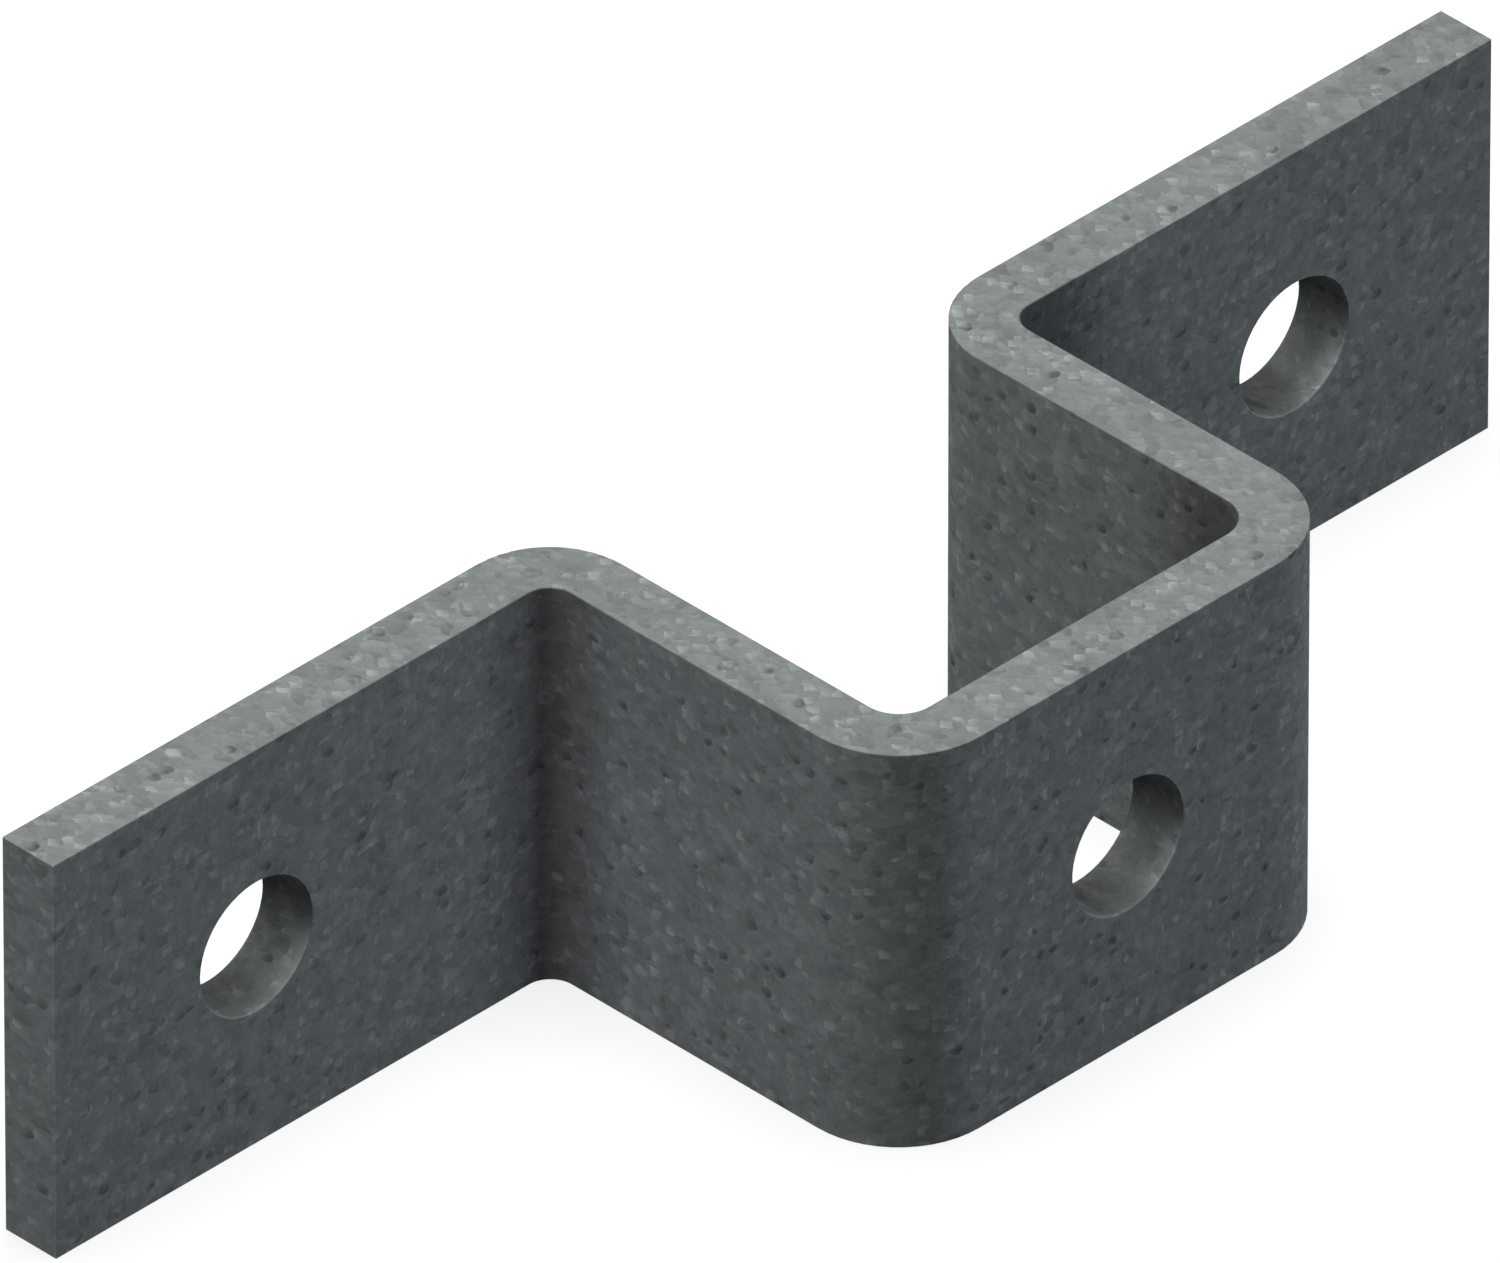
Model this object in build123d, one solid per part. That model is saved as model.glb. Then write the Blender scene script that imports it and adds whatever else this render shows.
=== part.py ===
from build123d import *
import os

# Hat bracket, folded cold from one length of flat steel bar. All lengths are in millimetres.
# The bar stands on its lower edge: +X runs along the two feet, +Z goes up across the bar's
# width, and the crown stands out towards -Y.
# The origin lies on the plane of the feet's backs, midway between the two foot holes.

# The flat bar, and how far its long edges and end corners are rounded over
bar_width = 40.0
bar_thickness = 6.0
edge_radius = 0.1

# The fold: a pocket between two webs, closed by the crown and flanked by the feet
pocket_width = 42.0
pocket_depth = 41.0
foot_length = 57.8
foot_bend_inside_radius = 2.5
crown_bend_inside_radius = 3.5

# The bolt holes, all three on the bar's middle line, and the bevel that clears their burrs
foot_hole_diameter = 13.0
foot_hole_to_end = 23.5
crown_hole_diameter = 13.0
rim_bevel = 0.1

# Planes of the fold
web_inner_x = pocket_width / 2
web_outer_x = web_inner_x + bar_thickness
foot_end_x = web_outer_x + foot_length
foot_hole_x = foot_end_x - foot_hole_to_end
foot_back_y = 0.0
foot_front_y = foot_back_y - bar_thickness
crown_inner_y = foot_back_y - pocket_depth
crown_outer_y = crown_inner_y - bar_thickness

# The outside of each bend shares its centre with the inside, one bar thickness further out
foot_bend_outside_radius = foot_bend_inside_radius + bar_thickness
crown_bend_outside_radius = crown_bend_inside_radius + bar_thickness


def hat_section():
    """The folded outline seen from above: one half of the hat and its mirror image."""
    pocket_side = FilletPolyline(
        (0, crown_inner_y),
        (web_inner_x, crown_inner_y),
        (web_inner_x, foot_back_y),
        (foot_end_x, foot_back_y),
        radius=[crown_bend_inside_radius, foot_bend_outside_radius],
    )
    outer_side = FilletPolyline(
        (0, crown_outer_y),
        (web_outer_x, crown_outer_y),
        (web_outer_x, foot_front_y),
        (foot_end_x, foot_front_y),
        radius=[crown_bend_outside_radius, foot_bend_inside_radius],
    )
    foot_end = Line(pocket_side @ 1, outer_side @ 1)
    crown_middle = Line(pocket_side @ 0, outer_side @ 0)
    half = make_face(pocket_side + foot_end + outer_side + crown_middle)
    return half + mirror(half, about=Plane.YZ)


def bolt_hole(x, back_y, diameter):
    """The round cut of one hole, through a single thickness of the bar along Y."""
    middle = Pos(x, back_y - bar_thickness / 2, 0)
    return middle * Rot(X=90) * Cylinder(diameter / 2, bar_thickness)


def bar_edges(bar):
    """The edges that run round the fold on both sides, and the four corners of the ends."""
    long_edges = bar.faces().filter_by(Axis.Z).edges()
    end_faces = bar.faces().filter_by(Axis.X).group_by(Axis.X)
    end_corners = (end_faces[0] + end_faces[-1]).edges().filter_by(Axis.Z)
    return long_edges + end_corners


def hole_rims(bar):
    """The round edges where the holes meet the bar's two faces."""
    return bar.edges().filter_by(GeomType.CIRCLE).filter_by(Plane.XZ)


def hat_bracket():
    """The finished bracket: one folded bar with a hole in each foot and one in the crown."""
    bar = extrude(hat_section(), amount=bar_width / 2, both=True)
    bar -= bolt_hole(-foot_hole_x, foot_back_y, foot_hole_diameter)
    bar -= bolt_hole(foot_hole_x, foot_back_y, foot_hole_diameter)
    bar -= bolt_hole(0, crown_inner_y, crown_hole_diameter)
    bar = chamfer(hole_rims(bar), rim_bevel)
    return fillet(bar_edges(bar), edge_radius)


os.makedirs("parts", exist_ok=True)
bracket = hat_bracket()
bracket.label = "hat_bracket"
export_step(bracket, "parts/hat_bracket.step")
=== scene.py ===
# %% [markdown]
# # A hat bracket in galvanised steel
#
# This lesson dresses one part: a strap of flat steel bar, folded four times into the outline
# of a hat, drilled in both feet and in the crown, and dipped in molten zinc. The folded bar
# already has its exact shape. It could be modelled again here, but then the looks and the
# drawing could drift apart, so it is loaded as it is. What is left to make is what the eye
# sees: the crystals in the zinc, the light of a plain studio, and a camera that looks along
# the corner of a cube.

# %% Load the folded bar
from math import cos, pi, radians, sin

import bpy
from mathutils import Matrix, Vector


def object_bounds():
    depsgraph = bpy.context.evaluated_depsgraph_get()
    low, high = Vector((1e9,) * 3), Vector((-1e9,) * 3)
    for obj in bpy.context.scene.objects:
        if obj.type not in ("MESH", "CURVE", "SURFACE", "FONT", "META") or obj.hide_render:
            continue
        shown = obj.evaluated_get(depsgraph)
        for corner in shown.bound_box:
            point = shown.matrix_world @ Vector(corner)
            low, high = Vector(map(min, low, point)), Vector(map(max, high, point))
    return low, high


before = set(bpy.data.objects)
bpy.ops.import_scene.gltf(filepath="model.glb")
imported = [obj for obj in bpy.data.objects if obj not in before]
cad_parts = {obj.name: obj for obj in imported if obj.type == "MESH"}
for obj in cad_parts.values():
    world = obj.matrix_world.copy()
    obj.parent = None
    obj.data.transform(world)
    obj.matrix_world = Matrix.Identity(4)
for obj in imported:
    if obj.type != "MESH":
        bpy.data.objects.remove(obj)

cad_low, cad_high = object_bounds()
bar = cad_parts["hat_bracket"]
print("bar", [round(1000 * side, 1) for side in cad_high - cad_low], "mm")

# %% [markdown]
# ## The camera
#
# The picture to match has no vanishing points: lines that are parallel on the steel stay
# parallel on paper, as in a workshop drawing. A drawing camera could do that, but it would
# crop the bar from the sides, where the bar is longer than the picture is wide. A very long
# lens from far away gives almost the same view, to within one part in a hundred, and it still
# frames the bar well when somebody walks round it.

# %% Look along the corner of a cube
sensor_width_mm = 36.0
lens_mm = 1450.0
picture_width = 0.1253
aim = Vector((-0.00038, -0.00292, 0.0))
towards_camera = Vector((-1, -1, 1)).normalized()
distance = picture_width * lens_mm / sensor_width_mm

camera_data = bpy.data.cameras.new("long_lens")
camera_data.sensor_width = sensor_width_mm
camera_data.lens = lens_mm
camera_data.clip_start = distance / 10
camera_data.clip_end = distance * 10
camera = bpy.data.objects.new("long_lens", camera_data)
camera.location = aim + towards_camera * distance
camera.rotation_mode = "QUATERNION"
camera.rotation_quaternion = (-towards_camera).to_track_quat("-Z", "Y")
bpy.context.scene.collection.objects.link(camera)
bpy.context.scene.camera = camera
print("camera stands", round(distance, 2), "m away")

# %% [markdown]
# ## Helpers for finishes
#
# A finish is a network of small boxes. It could be wired by hand in the shader editor, but
# the zinc takes over a hundred boxes, and nobody can read that much wire. Each helper below
# adds a box and joins it up, so the recipe for the zinc reads like a list of steps.

# %% Add a box, join two, and do a little arithmetic
def add_box(tree, kind, **settings):
    """A new box in the network, with its own settings filled in."""
    box = tree.nodes.new(kind)
    for name, value in settings.items():
        setattr(box, name, value)
    return box


def plug(tree, socket, source):
    """Feeds a socket from another box, or writes a fixed value on it."""
    if isinstance(source, bpy.types.NodeSocket):
        tree.links.new(source, socket)
    else:
        socket.default_value = source


def maths(tree, operation, first, second=0.0, clamp=False):
    """One sum on one or two numbers."""
    box = add_box(tree, "ShaderNodeMath", operation=operation, use_clamp=clamp)
    plug(tree, box.inputs[0], first)
    plug(tree, box.inputs[1], second)
    return box.outputs[0]


def total(tree, first, *others):
    """All of them added up."""
    for other in others:
        first = maths(tree, "ADD", first, other)
    return first


def product(tree, first, *others):
    """All of them multiplied."""
    for other in others:
        first = maths(tree, "MULTIPLY", first, other)
    return first


def scaled(tree, vector, share):
    """A place or a colour multiplied by one number."""
    box = add_box(tree, "ShaderNodeVectorMath", operation="SCALE")
    plug(tree, box.inputs[0], vector)
    plug(tree, box.inputs["Scale"], share)
    return box.outputs[0]


def ramp_between(tree, value, start, end, low=0.0, high=1.0):
    """Stretches a value that runs from start to end so that it runs from low to high."""
    box = add_box(tree, "ShaderNodeMapRange", clamp=True, interpolation_type="SMOOTHSTEP")
    for socket, source in zip(box.inputs, (value, start, end, low, high)):
        plug(tree, socket, source)
    return box.outputs[0]


print("helpers for finishes ready")

# %% [markdown]
# ## Places on the bar
#
# The coat is molten zinc that froze on the steel, so its pattern runs on over every edge and
# bend. A painted picture could hold the pattern, but it would stretch round the bends and
# repeat. Here the pattern fills all of space, in millimetres, and the bar cuts through it as a
# saw cuts through marble. The helpers move, turn and stretch the place that a pattern is asked
# about, or push it about with a soft noise, because nothing that freezes has ruled borders.

# %% Places in millimetres, moved, drawn out and bent
def bar_millimetres(tree):
    """The point being shaded, in millimetres."""
    return scaled(tree, add_box(tree, "ShaderNodeTexCoord").outputs["Object"], 1000.0)


def shifted(tree, place, offset, turn=0.0, stretch=(1, 1, 1)):
    """The same place moved, turned about the upright, and stretched along the turned axes."""
    mapping = add_box(tree, "ShaderNodeMapping", vector_type="TEXTURE")
    plug(tree, mapping.inputs["Vector"], place)
    mapping.inputs["Location"].default_value = offset
    mapping.inputs["Rotation"].default_value = (0, 0, radians(turn))
    mapping.inputs["Scale"].default_value = stretch
    return mapping.outputs[0]


def drawn_out(tree, place, stretch):
    """The place for patterns that are longer along each axis by these shares."""
    shrunk = add_box(tree, "ShaderNodeVectorMath", operation="DIVIDE")
    plug(tree, shrunk.inputs[0], place)
    shrunk.inputs[1].default_value = stretch
    return shrunk.outputs[0]


def soft_noise(tree, place, size_mm, detail=0.0):
    """Clouds about one size across."""
    noise = add_box(tree, "ShaderNodeTexNoise")
    plug(tree, noise.inputs["Vector"], place)
    noise.inputs["Scale"].default_value = 1.0 / size_mm
    noise.inputs["Detail"].default_value = detail
    return noise.outputs


def bent(tree, place, size_mm, amount_mm, detail=1.0):
    """The same place pushed about by a soft noise."""
    centred = add_box(tree, "ShaderNodeVectorMath", operation="SUBTRACT")
    plug(tree, centred.inputs[0], soft_noise(tree, place, size_mm, detail)["Color"])
    centred.inputs[1].default_value = (0.5, 0.5, 0.5)
    push = add_box(tree, "ShaderNodeVectorMath", operation="MULTIPLY_ADD")
    plug(tree, push.inputs[0], centred.outputs[0])
    push.inputs[1].default_value = (2 * amount_mm,) * 3
    plug(tree, push.inputs[2], place)
    return push.outputs[0]


print("patterns are laid out in millimetres")

# %% [markdown]
# ## Crystals
#
# Zinc freezes into flat crystals, called spangles. On thick bar they are small, about a
# millimetre across, and some months of weather turn them to a dull blue-grey patina. Each
# keeps its own shade and fades towards one side, like a scale of a fish.
#
# The cell texture scatters points through space and gives every place the nearest one. All
# places that share a point are one crystal. The texture hands out a random colour for each
# crystal, which serves as three random numbers, and the point itself, so a few sums tell on
# which side of the point a place lies. That side is the lean: a shade multiplied by it is full
# at one side of the crystal and gone at the other, where the neighbour lies on top. A shade
# that is even all over would be simpler, but it looks like a mosaic of tiles.

# %% Crystals with random numbers of their own, and the side that they lean to
lean_direction = Vector((0.5, -0.6, -0.62)).normalized()
steepness = 1.2


def crystals(tree, place, size_mm, outline, wander):
    """Cells about one size across: three random numbers, the lean and the distance.

    The lean runs from 0 at the far side to 1 at the near side. All cells lean one way where
    wander is 0, and each its own way where it is 1. The distance from the point is in cells."""
    cells = add_box(tree, "ShaderNodeTexVoronoi", feature="F1", distance=outline)
    plug(tree, cells.inputs["Vector"], place)
    cells.inputs["Scale"].default_value = 1.0 / size_mm
    numbers = add_box(tree, "ShaderNodeSeparateColor")
    plug(tree, numbers.inputs[0], cells.outputs["Color"])
    inside = add_box(tree, "ShaderNodeVectorMath", operation="SUBTRACT")
    plug(tree, inside.inputs[0], place)
    plug(tree, inside.inputs[1], cells.outputs["Position"])
    heading = add_box(tree, "ShaderNodeVectorMath", operation="MULTIPLY_ADD")
    plug(tree, heading.inputs[0], cells.outputs["Color"])
    heading.inputs[1].default_value = (2 * wander * steepness / size_mm,) * 3
    steady = (1 - wander) * lean_direction - wander * Vector((1, 1, 1))
    heading.inputs[2].default_value = steepness * steady / size_mm
    along = add_box(tree, "ShaderNodeVectorMath", operation="DOT_PRODUCT")
    plug(tree, along.inputs[0], inside.outputs[0])
    plug(tree, along.inputs[1], heading.outputs[0])
    lean = maths(tree, "ADD", along.outputs["Value"], 0.5, clamp=True)
    return numbers.outputs, lean, cells.outputs["Distance"]


def scales(tree, place, size_mm, outline, weight):
    """Overlapping crystals, each with a shade that fades from its near side to its far side."""
    numbers, lean, _ = crystals(tree, place, size_mm, outline, wander=0.6)
    own = maths(tree, "SUBTRACT", numbers[0], 0.5)
    return product(tree, own, weight, lean)


print("crystals lean towards", [round(share, 2) for share in lean_direction])

# %% [markdown]
# ## Bright flakes and dark pits
#
# A crystal that happens to face the light shows as a pale flake. Where iron kept the zinc off
# there is a dark pit, with painted shade that deepens towards one side and a painted highlight
# on its rim there. Only a few crystals have either, so each asks a random number of its own.
# Pits could be dents in the mesh, but they are shallower than a hair is thick, and so many would
# take millions of faces.

# %% Flakes on some crystals, and a pit in the middle of others
def flakes(tree, place, size_mm, outline, share, weight):
    """A few bright crystals, brightest at their near side."""
    numbers, lean, distance = crystals(tree, place, size_mm, outline, wander=0.7)
    bright = ramp_between(tree, numbers[1], 1.0 - share, 1.0 - 0.6 * share, high=weight)
    core = ramp_between(tree, distance, start=0.5, end=0.42)
    return product(tree, bright, core, maths(tree, "POWER", lean, 1.3))


def pits(tree, place, spacing_mm, share):
    """Dark ovals, with painted shade deepening to one side and a painted highlight on the rim
    there.
    """
    numbers, lean, distance = crystals(tree, place, spacing_mm, "EUCLIDEAN", wander=0.15)
    here = maths(tree, "LESS_THAN", numbers[1], share)
    hollow = ramp_between(tree, distance, start=0.5, end=0.34)
    # Painted shade deepens towards one side of the pit, and a painted highlight lies on its rim
    # there.
    dark = ramp_between(tree, lean, start=0.1, end=0.9, low=-0.1, high=-0.42)
    rim = ramp_between(tree, distance, start=0.58, end=0.54)
    rim = maths(tree, "SUBTRACT", rim, ramp_between(tree, distance, start=0.54, end=0.48))
    pale = product(tree, rim, maths(tree, "POWER", lean, 4.0), 0.3)
    return product(tree, here, total(tree, product(tree, hollow, dark), pale))


pit_spacing_mm, pit_share = 1.4, 0.085
print("one pit to about", round(1 / pit_share), "cells of", pit_spacing_mm, "mm")

# %% [markdown]
# ## The coat in layers
#
# The coat shows crystals of two sizes, flakes, pits and a fine grain. One layer alone looks
# like a printed pattern, and layers that don't line up look grown. Each is therefore moved to
# another part of space, and they are added up to one number around 1: how much paler or darker
# than average the zinc is. All are drawn out a little the same way, as zinc that ran before it
# froze. The layers could be mixed as colours, but the crystals all have one hue, so one number
# is enough.

# %% Add up the layers
def zinc_shade(tree, place, grain):
    """How much lighter or darker than average the zinc is at this point, around 1."""
    loose = drawn_out(tree, bent(tree, place, size_mm=1.6, amount_mm=0.3), (1.0, 1.2, 0.95))
    for_large = shifted(tree, loose, (0, 0, 0), turn=45, stretch=(1, 1.15, 1))
    for_small = shifted(tree, loose, (31, 17, 5), turn=45, stretch=(1, 1.15, 1))
    for_flakes = shifted(tree, loose, (7, 3, 43), turn=45)
    for_pits = shifted(tree, loose, (5, 13, 11), stretch=(1.2, 1.0, 0.95))
    return total(
        tree,
        1.0,
        scales(tree, for_large, size_mm=1.3, outline="CHEBYCHEV", weight=0.5),
        scales(tree, for_small, size_mm=0.65, outline="EUCLIDEAN", weight=0.33),
        flakes(tree, for_flakes, size_mm=1.0, outline="CHEBYCHEV", share=0.2, weight=0.6),
        pits(tree, for_pits, pit_spacing_mm, pit_share),
        ramp_between(tree, grain, start=0.2, end=0.8, low=-0.045, high=0.045),
    )


print("the coat has five layers")

# %% [markdown]
# ## Painted shade in the inner corners
#
# The colour is darkened towards the inner bends, as painted shade.
# Painting those places by hand would stray over the edges. An occlusion box could look for
# them, but it casts extra rays at every point. The bar is folded at known places, so a few
# sums say how far each point is from the two planes that meet in an inner corner.

# %% Paint shade towards an inner corner, in millimetres
web_outside, foot_front, foot_bend_radius = 27.0, -6.0, 2.5
web_inside, crown_inside, crown_bend_radius = 21.0, -41.0, 3.5
slack = 0.1


def length_of(tree, first, second):
    """The long side of a right triangle."""
    squares = total(tree, product(tree, first, first), product(tree, second, second))
    return maths(tree, "SQRT", squares)


def painted_corner_shade(tree, across, out, radius, near_mm, far_mm, darkest):
    """Painted shade: 1 far from an inner corner and down to the darkest share in it.

    Across and out are the distances from the two planes that meet there. Only the open side
    and the surface of the round between the planes count, and not the steel behind it."""
    short = [maths(tree, "SUBTRACT", radius, reach) for reach in (across, out)]
    short = [maths(tree, "MAXIMUM", reach, 0.0) for reach in short]
    open_side = maths(tree, "LESS_THAN", length_of(tree, *short), radius + slack)
    away = length_of(tree, across, out)
    dark = ramp_between(tree, away, near_mm, far_mm, low=1.0 - darkest, high=0.0)
    return maths(tree, "SUBTRACT", 1.0, product(tree, dark, open_side))


print("inner corners", web_outside, "and", web_inside, "mm from the middle")

# %% [markdown]
# ## Painted light and shade on the walls of the holes
#
# Each hole wall gets painted light at its lower right, palest on the front rim, and painted
# shade in the very bottom and at the lower left. From mid height up the wall is painted dark,
# and it darkens towards its back rim. The walls could be a material of their own, but then the
# crystals would break off at the rim. Instead a mask picks out the points that lie as far from
# the hole's middle line as the wall does.

# %% Paint light and shade on the wall of a hole, from pale at the bottom to dark
hole_radius = 6.5


def hole_wall(tree, across, height):
    """1 on the wall of a hole and 0 everywhere else."""
    radius = length_of(tree, across, height)
    return ramp_between(tree, radius, start=hole_radius + 0.06, end=hole_radius + 0.02)


def painted_hole_light_and_shade(tree, wall, across, height, inward, darkest, palest):
    """1 off the wall; on it painted light, palest low down, and painted shade, darkest above mid
    height.
    """
    # Painted light low down and on the front rim; painted shade above, at the bottom, the lower
    # left and the back.
    shade = ramp_between(tree, height, start=-5.6, end=1.8, low=palest, high=darkest)
    bottom = ramp_between(tree, height, start=-hole_radius, end=-5.6, low=0.72, high=1.0)
    left = ramp_between(tree, across, start=-3.0, end=0.0, low=0.6, high=1.0)
    deep = ramp_between(tree, inward, start=0.5, end=4.0, low=1.0, high=0.82)
    back = ramp_between(tree, inward, start=3.4, end=5.6, low=1.0, high=0.72)
    rim = ramp_between(tree, inward, start=0.35, end=0.15, low=1.0, high=1.2)
    change = maths(tree, "SUBTRACT", product(tree, shade, bottom, left, deep, back, rim), 1.0)
    return total(tree, 1.0, product(tree, wall, change))


print("holes", 2 * hole_radius, "mm across")

# %% [markdown]
# ## Painted light on the cut ends
#
# The cut ends of the feet get a touch of painted light, and a painted highlight along their
# four upright corners, on a line no wider than a hair. A bevelled edge with a second material
# could show it, but the corner is already rounded by a tenth of a millimetre, so a mask on the
# place is enough.

# %% Paint light on the ends and a highlight on their upright corners
foot_end, foot_middle, half_thickness = 84.8, -3.0, 3.0
edge_radius, blur = 0.1, 0.02


def past(tree, value, limit):
    """0 below a limit and 1 beyond it, with a little blur between."""
    return ramp_between(tree, value, limit - blur, limit + blur)


def painted_end_light(tree, side, depth, pale, palest):
    """1 elsewhere, painted light on the cut ends and a painted highlight on their upright
    corners.
    """
    # Painted light on the cut ends and a painted highlight along their upright corners.
    off_middle = maths(tree, "ABSOLUTE", maths(tree, "SUBTRACT", depth, foot_middle))
    beyond = past(tree, side, foot_end - edge_radius)
    edge = past(tree, off_middle, half_thickness - edge_radius)
    lift = ramp_between(tree, edge, start=0.0, end=1.0, low=pale - 1.0, high=palest - 1.0)
    return total(tree, 1.0, product(tree, beyond, lift))


print("corners rounded by", edge_radius, "mm")

# %% [markdown]
# ## All the painted light and shade together
#
# Every mask gives 1 where it has nothing to say, so they can simply be multiplied. The right
# foot lies deeper in the shade of the hat than the left, so its strip of painted shade is wider.
# Both feet have the same hole at the same distance, so one mask that ignores left and right does
# both. Where the painted shade of the left bend and the pocket is deepest, a plainer grey is
# painted too. It could have a mask of its own, but then the two could slip apart, so it is taken
# from theirs.

# %% Multiply the masks
foot_hole_place, crown_front = 61.3, -47.0


def painted_light_and_shade(tree, place):
    """Painted light and shade as a share, 1 in the deepest corner shade, and 1 on a hole wall.
    """
    parts = add_box(tree, "ShaderNodeSeparateXYZ")
    plug(tree, parts.inputs[0], place)
    along, depth, height = parts.outputs
    side = maths(tree, "ABSOLUTE", along)

    # Painted shade towards the inner corners of both feet and of the pocket.
    out = maths(tree, "SUBTRACT", foot_front, depth)
    across = maths(tree, "SUBTRACT", product(tree, along, -1.0), web_outside)
    left = painted_corner_shade(
        tree, across, out, foot_bend_radius, near_mm=0.5, far_mm=10.0, darkest=0.52)
    across = maths(tree, "SUBTRACT", along, web_outside)
    right = painted_corner_shade(
        tree, across, out, foot_bend_radius, near_mm=4.0, far_mm=15.0, darkest=0.49)
    out = maths(tree, "SUBTRACT", depth, crown_inside)
    across = maths(tree, "SUBTRACT", web_inside, side)
    pocket = painted_corner_shade(
        tree, across, out, crown_bend_radius, near_mm=4.0, far_mm=16.0, darkest=0.45)

    # Painted light and shade on the walls of the foot holes and of the crown hole.
    middle = product(tree, maths(tree, "SIGN", along), foot_hole_place)
    across = maths(tree, "SUBTRACT", along, middle)
    inward = maths(tree, "SUBTRACT", depth, foot_front)
    foot_wall = hole_wall(tree, across, height)
    foot_hole = painted_hole_light_and_shade(
        tree, foot_wall, across, height, inward, darkest=0.25, palest=1.42)
    inward = maths(tree, "SUBTRACT", depth, crown_front)
    crown_wall = hole_wall(tree, along, height)
    crown_hole = painted_hole_light_and_shade(
        tree, crown_wall, along, height, inward, darkest=0.25, palest=1.42)

    # Painted light on both cut ends and a painted highlight on their upright corners.
    lit_ends = painted_end_light(tree, side, depth, pale=1.06, palest=1.45)
    # All the painted light and shade, as one share of the colour.
    painted_share = product(tree, left, right, pocket, lit_ends, product(tree, foot_hole, crown_hole))
    # 1 where the painted shade of the left bend and the pocket is deepest, for a plainer grey
    # there.
    deepest_shade = ramp_between(tree, product(tree, left, pocket), start=0.66, end=0.58)
    return painted_share, deepest_shade, total(tree, foot_wall, crown_wall)


print("foot holes", 2 * foot_hole_place, "mm apart")

# %% [markdown]
# ## Dull zinc
#
# Weathered zinc scatters light like chalk and hardly mirrors anything. A true metal would show
# the studio in its sides, which stay dull on the real bar, so the finish isn't metallic and
# its mirror layer is turned almost off. The zinc is a green-grey, with a plainer grey painted
# into the deepest corner shade and a warmer grey painted on the hole walls as the colour of
# their light. One colour all over would be simpler, but the inner bends came out too blue with
# it. The crystal tone times the painted light and shade multiplies the colour, pale crystals are
# a little smoother than dark ones, and a relief of two hundredths of a millimetre breaks up the
# light as the grainy skin of the real coat does.

# %% Wire the zinc and put it on the bar
zinc_colour = Vector((0.233, 0.255, 0.248))
# The plainer grey painted into the deepest shade of the inner corners.
plainer_shade_colour = Vector((0.250, 0.254, 0.252))
# The warmer grey painted on the hole walls as the colour of the light there.
painted_wall_light_colour = Vector((0.231, 0.255, 0.243))
grain_size_mm = 0.3
grain_height = 0.00002

zinc = bpy.data.materials.new("dull_zinc")
zinc.use_nodes = True
tree = zinc.node_tree
surface = tree.nodes["Principled BSDF"]
surface.inputs["Metallic"].default_value = 0.0
surface.inputs["Specular IOR Level"].default_value = 0.02
place = bar_millimetres(tree)
grain = soft_noise(tree, place, grain_size_mm, detail=1.0)[0]
# The painted light and shade, the mask of the deepest painted shade, and the hole walls.
painted_share, deepest_shade, walls = painted_light_and_shade(tree, place)
# The crystal tone times the painted light and shade.
shade = product(tree, zinc_shade(tree, place, grain), painted_share)
colour = zinc_colour
for mask, other_colour in ((deepest_shade, plainer_shade_colour), (walls, painted_wall_light_colour)):
    change = add_box(tree, "ShaderNodeVectorMath", operation="ADD")
    plug(tree, change.inputs[0], colour)
    plug(tree, change.inputs[1], scaled(tree, other_colour - zinc_colour, mask))
    colour = change.outputs[0]
plug(tree, surface.inputs["Base Color"], scaled(tree, colour, shade))
roughness = ramp_between(tree, shade, start=0.7, end=1.4, low=0.9, high=0.7)
plug(tree, surface.inputs["Roughness"], roughness)
relief = add_box(tree, "ShaderNodeBump")
relief.inputs["Strength"].default_value = 1.0
relief.inputs["Distance"].default_value = grain_height
plug(tree, relief.inputs["Height"], grain)
plug(tree, surface.inputs["Normal"], relief.outputs[0])
bar.data.materials[0] = zinc
print("zinc network has", len(tree.nodes), "boxes")

# %% [markdown]
# ## The floor
#
# A pale sheet under the part keeps it from floating: it takes a soft shadow. A plain white
# sheet would do, but it would throw much light back up at the steel. This one is grey for the
# light that bounces, and it looks white to the lens because it glows a little for rays that
# come straight from the lens or from a mirror image.

# %% Lay the floor
floor_reach = 3.0
floor_colour = 0.1
floor_seen_colour = 0.35
floor_glow = 0.75


def seen_directly(tree):
    """1 for rays from the lens and for mirror images of them, and 0 for bounced light."""
    path = add_box(tree, "ShaderNodeLightPath")
    seen = path.outputs["Is Camera Ray"]
    for other in ("Is Glossy Ray", "Is Transmission Ray"):
        seen = maths(tree, "MAXIMUM", seen, path.outputs[other])
    return seen


corners = [(x, y, cad_low.z) for x, y in ((-1, -1), (1, -1), (1, 1), (-1, 1))]
corners = [(x * floor_reach, y * floor_reach, z) for x, y, z in corners]
floor_mesh = bpy.data.meshes.new("floor")
floor_mesh.from_pydata(corners, [], [(0, 1, 2, 3)])
floor = bpy.data.objects.new("floor", floor_mesh)
bpy.context.scene.collection.objects.link(floor)

paper = bpy.data.materials.new("white_paper")
paper.use_nodes = True
tree = paper.node_tree
tree.nodes.remove(tree.nodes["Principled BSDF"])
seen = seen_directly(tree)
matt = add_box(tree, "ShaderNodeBsdfDiffuse")
grey = ramp_between(tree, seen, start=0.0, end=1.0, low=floor_colour, high=floor_seen_colour)
plug(tree, matt.inputs["Color"], grey)
glow = add_box(tree, "ShaderNodeEmission")
plug(tree, glow.inputs["Strength"], product(tree, seen, floor_glow))
both = add_box(tree, "ShaderNodeAddShader")
plug(tree, both.inputs[0], matt.outputs[0])
plug(tree, both.inputs[1], glow.outputs[0])
plug(tree, tree.nodes["Material Output"].inputs["Surface"], both.outputs[0])
paper.cycles.emission_sampling = "NONE"
floor_mesh.materials.append(paper)
print("floor at", round(1000 * cad_low.z, 1), "mm")

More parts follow.
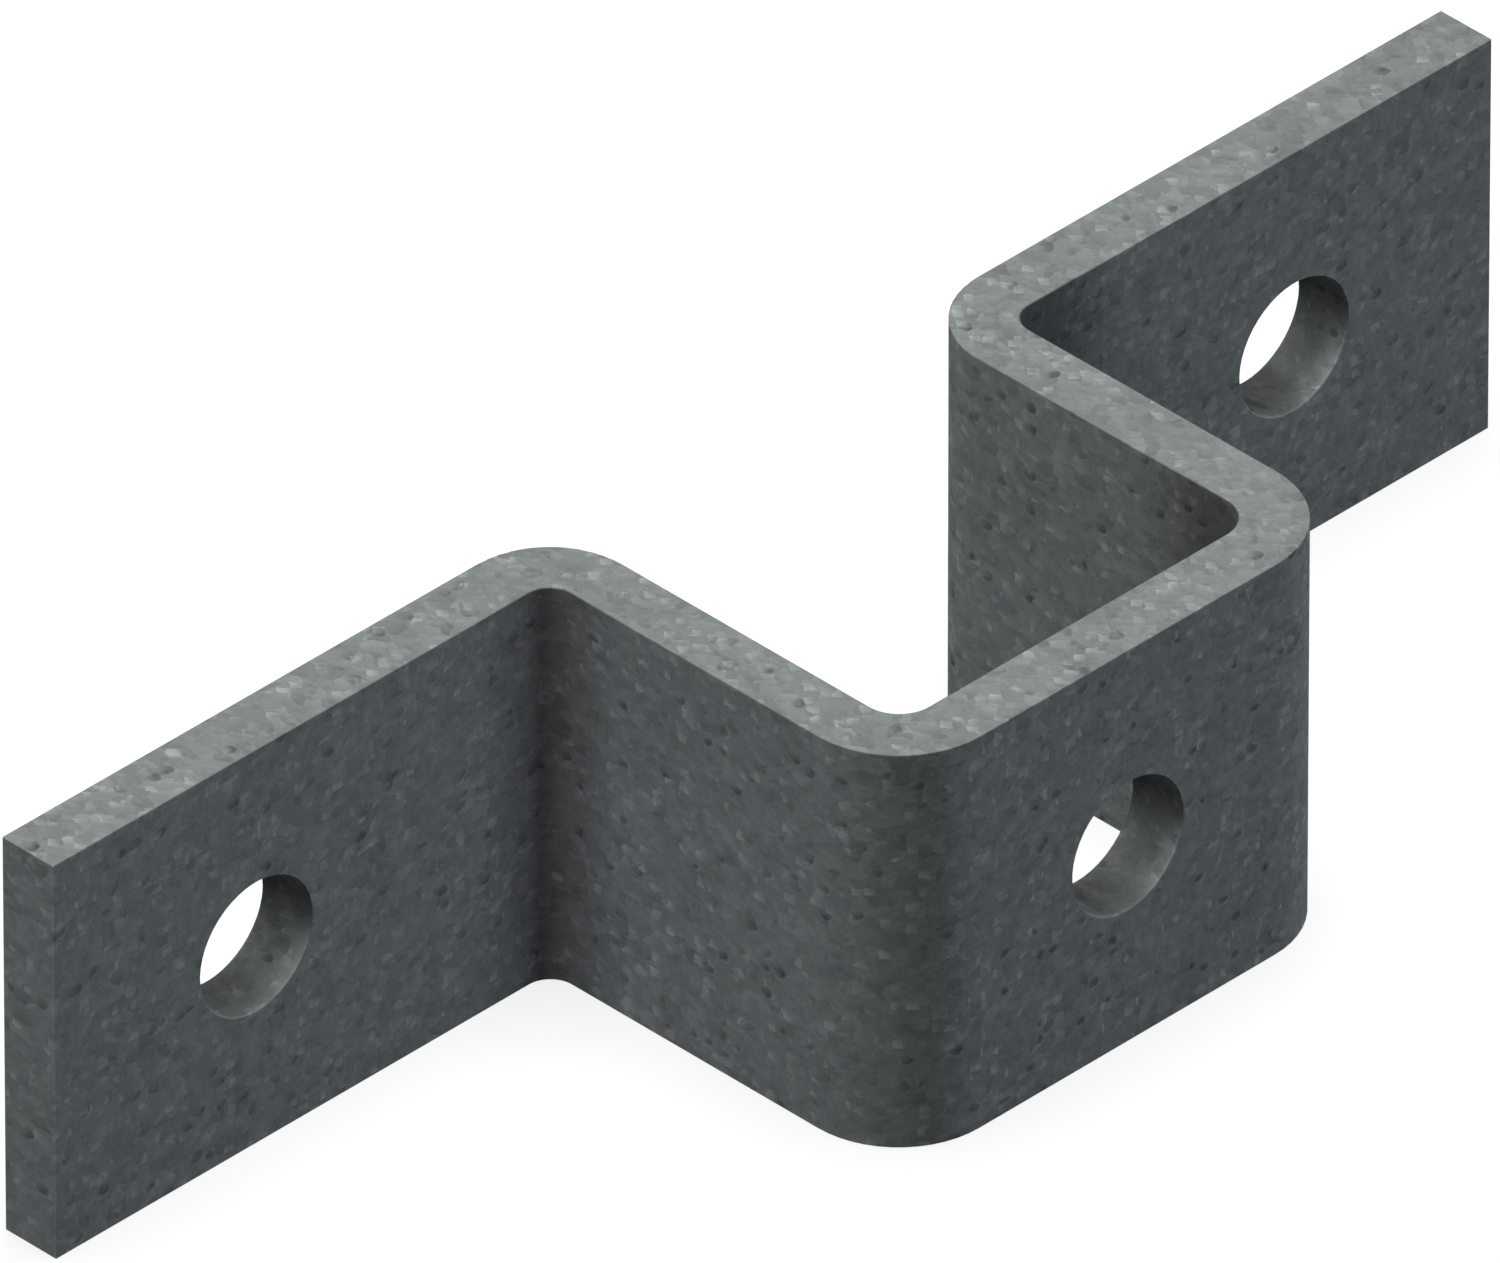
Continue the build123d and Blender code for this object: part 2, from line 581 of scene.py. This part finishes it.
# %% [markdown]
# ## The softbox
#
# One large round softbox hangs over the bar and lights the cut edges that face up. The sides
# get only what slips past it, so they stay three times darker. A sun lamp could do the same,
# but its shadow on the floor would be hard. The level is how bright a white sheet under the
# softbox comes out, and the power follows from that and from how much of the sky the softbox
# fills, so it can be moved without a new guess.

# %% Hang the softbox
softbox_height = 1.0
softbox_width = 0.81
softbox_level = 0.93
softbox_radius = softbox_width / 2
spread = softbox_radius ** 2 / (softbox_radius ** 2 + softbox_height ** 2)
softbox_brightness = softbox_level / spread

softbox_data = bpy.data.lights.new("softbox", "AREA")
softbox_data.shape = "DISK"
softbox_data.size = softbox_width
softbox_data.energy = softbox_brightness * pi * pi * softbox_radius ** 2
softbox = bpy.data.objects.new("softbox", softbox_data)
softbox.location = (0, 0, softbox_height)
bpy.context.scene.collection.objects.link(softbox)
print("softbox", round(softbox_data.energy, 1), "W")

# %% [markdown]
# ## The fill lamps
#
# Two weak lamps stand level with the bar, one behind its left end and one off its right end
# and in front. They throw no shadow, so the hat doesn't darken its own feet. Between them the
# bend nearest the lens keeps a darker band, which tells the eye that it is round. A third and
# still weaker lamp at the front left does throw shadows. One bright world could fill the
# shadows too, but it would light all the sides alike and flatten the bends.

# %% Stand the fill lamps
def fill_lamp(name, turn, level, colour, shadow):
    """A lamp level with the bar. At turn 0 it shines from the left end, at 90 from the front."""
    data = bpy.data.lights.new(name, "SUN")
    data.energy = level * pi
    data.color = colour
    data.angle = radians(20)
    data.use_shadow = shadow
    lamp = bpy.data.objects.new(name, data)
    lamp.rotation_mode = "QUATERNION"
    away = Vector((cos(radians(turn)), sin(radians(turn)), 0))
    lamp.rotation_quaternion = away.to_track_quat("-Z", "Y")
    bpy.context.scene.collection.objects.link(lamp)
    return lamp


fills = [
    fill_lamp("left_fill", turn=-30, level=0.23, colour=(0.93, 0.92, 1.0), shadow=False),
    fill_lamp("right_fill", turn=151, level=0.262, colour=(0.78, 0.83, 1.0), shadow=False),
    fill_lamp("front_fill", turn=60, level=0.08, colour=(0.75, 0.85, 1.0), shadow=True),
]
print("lamps", [lamp.name for lamp in fills])

# %% [markdown]
# ## The air round the studio
#
# A little light comes from everywhere, so no place is black. A bright white world would do
# for the white background, but it would wash out the steel. So the world is white only for
# rays that come straight from the lens or from a mirror image, and weak for the light that it
# gives. The plain view keeps the colours as they are written.

# %% Fill the studio with air
ambient = 0.065

surroundings = bpy.data.worlds.new("studio_air")
surroundings.use_nodes = True
tree = surroundings.node_tree
surroundings.cycles.sampling_method = "NONE"
bpy.context.scene.world = surroundings
brightness = ramp_between(tree, seen_directly(tree), start=0.0, end=1.0, low=ambient, high=1.0)
plug(tree, tree.nodes["Background"].inputs["Strength"], brightness)
tree.nodes["Background"].inputs["Color"].default_value = (1, 1, 1, 1)
bpy.context.scene.view_settings.view_transform = "Standard"
print("air at", ambient, "of white")
